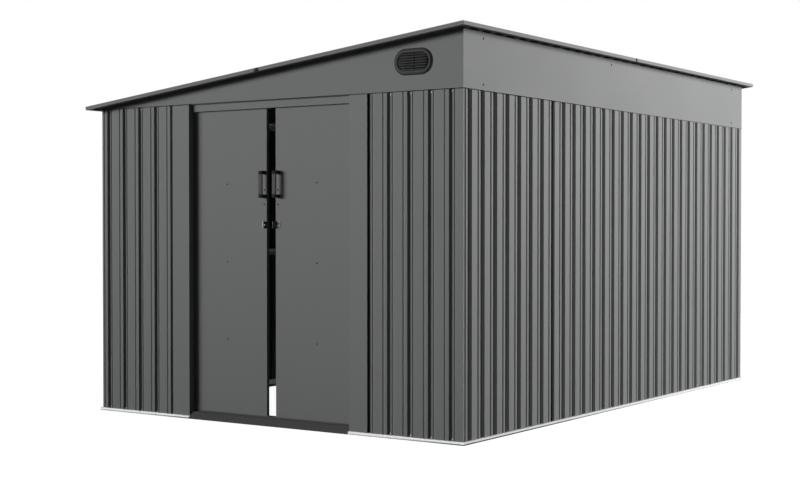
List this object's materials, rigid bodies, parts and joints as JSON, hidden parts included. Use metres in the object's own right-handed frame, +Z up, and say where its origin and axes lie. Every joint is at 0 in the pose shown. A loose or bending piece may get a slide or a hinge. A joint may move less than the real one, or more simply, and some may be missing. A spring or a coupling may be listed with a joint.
{
  "type": "metal storage shed",
  "caption": "Walk-in garden shed of ribbed sheet steel on a galvanised base frame, with a pent roof, louvre vents and sliding double doors.",
  "frame": {"origin": "middle of the footprint of the roof's outline, on the ground under the base rails", "axes": "+X to the right of the door wall towards the high side, +Y from the door wall to the back, +Z up"},
  "size_m": [2.5423, 3.826, 2.0434],
  "materials": {
    "rib_sheet": "satin dark grey paint on ribbed sheet steel",
    "panel_steel": "satin dark grey paint on flat folded sheet steel",
    "door_steel": "satin dark grey paint on flat door sheets",
    "roof_trim": "satin grey paint on folded roof edging",
    "vent_steel": "satin dark grey paint on the louvre vent",
    "galvanised_frame": "bright galvanised steel",
    "black_plastic": "matt black moulded plastic",
    "dark_fittings": "dark painted steel fittings"
  },
  "bodies": {
    "shed": {"base_rail_front": "galvanised_frame", "base_rail_right": "galvanised_frame", "base_rail_back": "galvanised_frame", "base_rail_left": "galvanised_frame", "door_threshold": "panel_steel", "corner_front_right": "rib_sheet", "corner_back_right": "rib_sheet", "corner_back_left": "rib_sheet", "corner_front_left": "rib_sheet", "front_sheet_left": "rib_sheet", "front_sheet_right": "rib_sheet", "right_sheet_1": "rib_sheet", "right_sheet_2": "rib_sheet", "right_sheet_3": "rib_sheet", "right_sheet_4": "rib_sheet", "left_sheet_1": "rib_sheet", "left_sheet_2": "rib_sheet", "left_sheet_3": "rib_sheet", "left_sheet_4": "rib_sheet", "back_sheet_1": "rib_sheet", "back_sheet_2": "rib_sheet", "back_sheet_3": "rib_sheet", "door_jamb_left": "rib_sheet", "door_jamb_right": "rib_sheet", "front_top_rail": "rib_sheet", "door_header": "panel_steel", "door_track": "galvanised_frame", "front_gable": "panel_steel", "back_gable": "panel_steel", "high_fascia_1": "panel_steel", "high_fascia_2": "panel_steel", "high_fascia_3": "panel_steel", "front_vent": "vent_steel", "back_vent": "vent_steel", "rails_right": "galvanised_frame", "rails_left": "galvanised_frame", "rails_back": "galvanised_frame", "roof_beams": "galvanised_frame", "roof_sheet_1": "rib_sheet", "roof_sheet_2": "rib_sheet", "roof_sheet_3": "rib_sheet", "roof_sheet_4": "rib_sheet", "roof_trim_high": "roof_trim", "roof_trim_low": "roof_trim", "roof_trim_front": "roof_trim", "roof_trim_back": "roof_trim"},
    "left_door": {"left_door_panel": "door_steel", "left_door_hangers": "black_plastic", "left_door_handle": "black_plastic", "left_door_hasp": "dark_fittings"},
    "right_door": {"right_door_panel": "door_steel", "right_door_hangers": "black_plastic", "right_door_handle": "black_plastic", "right_door_hasp": "dark_fittings"}
  },
  "joints": [
    {"name": "left_door_slide", "type": "slide", "parent": "shed", "child": "left_door", "axis": [1, 0, 0], "range_m": [-0.475, 0.028]},
    {"name": "right_door_slide", "type": "slide", "parent": "shed", "child": "right_door", "axis": [1, 0, 0], "range_m": [-0.028, 0.475]}
  ]
}
